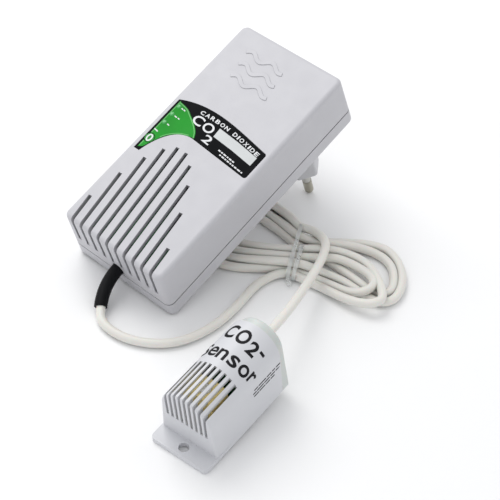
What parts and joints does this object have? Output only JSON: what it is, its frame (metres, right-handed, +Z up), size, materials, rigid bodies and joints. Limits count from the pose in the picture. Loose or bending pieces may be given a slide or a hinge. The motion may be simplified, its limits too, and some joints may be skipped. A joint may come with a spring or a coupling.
{
  "type": "carbon dioxide monitor",
  "caption": "Plug-in room carbon dioxide monitor lying on its plug, with a slotted case, a reset button, status lights and a remote sensor head on a hanked cable.",
  "frame": {"origin": "on the ground under the middle of the box round the case, plug and sensor head, leaving out the cable", "axes": "+Z up; +Y runs up the length of the case, from its cable end towards its plug; +X runs across the case, towards the side where the sensor head lies"},
  "size_m": [0.1168, 0.1582, 0.0667],
  "materials": {
    "case_plastic": "light grey moulded plastic, fine satin texture",
    "plug_plastic": "light grey moulded plastic, satin",
    "button_plastic": "green moulded plastic, satin",
    "face_print": null,
    "pin_metal": "nickel plated brass",
    "pin_sleeve": "half-insulating plastic sleeve",
    "steel": "zinc plated screws",
    "wire_jacket": "brown wire insulation",
    "circuit_board": "green solder mask on glass fibre",
    "core_steel": "stacked steel laminations",
    "winding_tape": "yellow polyester tape over the windings",
    "component_black": "black epoxy moulding",
    "capacitor_sleeve": "dark blue heat-shrink sleeve",
    "fuse_body": "brown moulded fuse",
    "terminal_green": "green moulded terminal block",
    "led_green": "green tinted LED lens",
    "led_yellow": "yellow tinted LED lens",
    "led_red": "red tinted LED lens",
    "light_pipe": "frosted clear light pipe",
    "relief_rubber": "black satin rubber",
    "head_plastic": "white moulded plastic, smooth satin",
    "head_cap_plastic": "white moulded plastic, slightly translucent",
    "grommet_rubber": "grey rubber grommet",
    "chamber_gold": "gold coloured sensor chamber",
    "membrane": "white porous membrane",
    "lamp_metal": "lamp can",
    "cable_jacket": "light grey PVC jacket",
    "clear_tie": "clear plastic tie"
  },
  "bodies": {
    "case": {"front_shell": "case_plastic", "back_shell": "case_plastic", "case_screws": "steel", "face_film": "face_print", "plug_body": "plug_plastic", "plug_pin_left": "pin_metal", "plug_pin_right": "pin_metal", "pin_sleeves": "pin_sleeve", "mains_wires": "wire_jacket", "main_board": "circuit_board", "board_screws": "steel", "transformer_core": "core_steel", "transformer_winding": "winding_tape", "transformer_base": "component_black", "fuse": "fuse_body", "filter_capacitor": "capacitor_sleeve", "rectifier": "component_black", "voltage_regulator": "component_black", "microcontroller": "component_black", "buzzer": "component_black", "sensor_terminal": "terminal_green", "led_green": "led_green", "led_yellow": "led_yellow", "led_red": "led_red", "light_pipes": "light_pipe", "switch_body": "component_black", "strain_relief": "relief_rubber", "head_housing": "head_plastic", "head_cap": "head_cap_plastic", "head_grommet": "grommet_rubber", "head_base_plate": "head_plastic", "head_board": "circuit_board", "gas_chamber": "chamber_gold", "gas_membrane": "membrane", "infrared_lamp": "lamp_metal", "cable_unit_lead": "cable_jacket", "cable_head_lead": "cable_jacket", "cable_hank": "cable_jacket", "hank_tie": "clear_tie"},
    "button": {"reset_button": "button_plastic", "switch_plunger": "component_black"}
  },
  "joints": [
    {"name": "reset_press", "type": "slide", "parent": "case", "child": "button", "axis": [0, 0.3607, -0.9327], "range_m": [0, 0.0005], "stiffness_N_per_m": 1500}
  ]
}
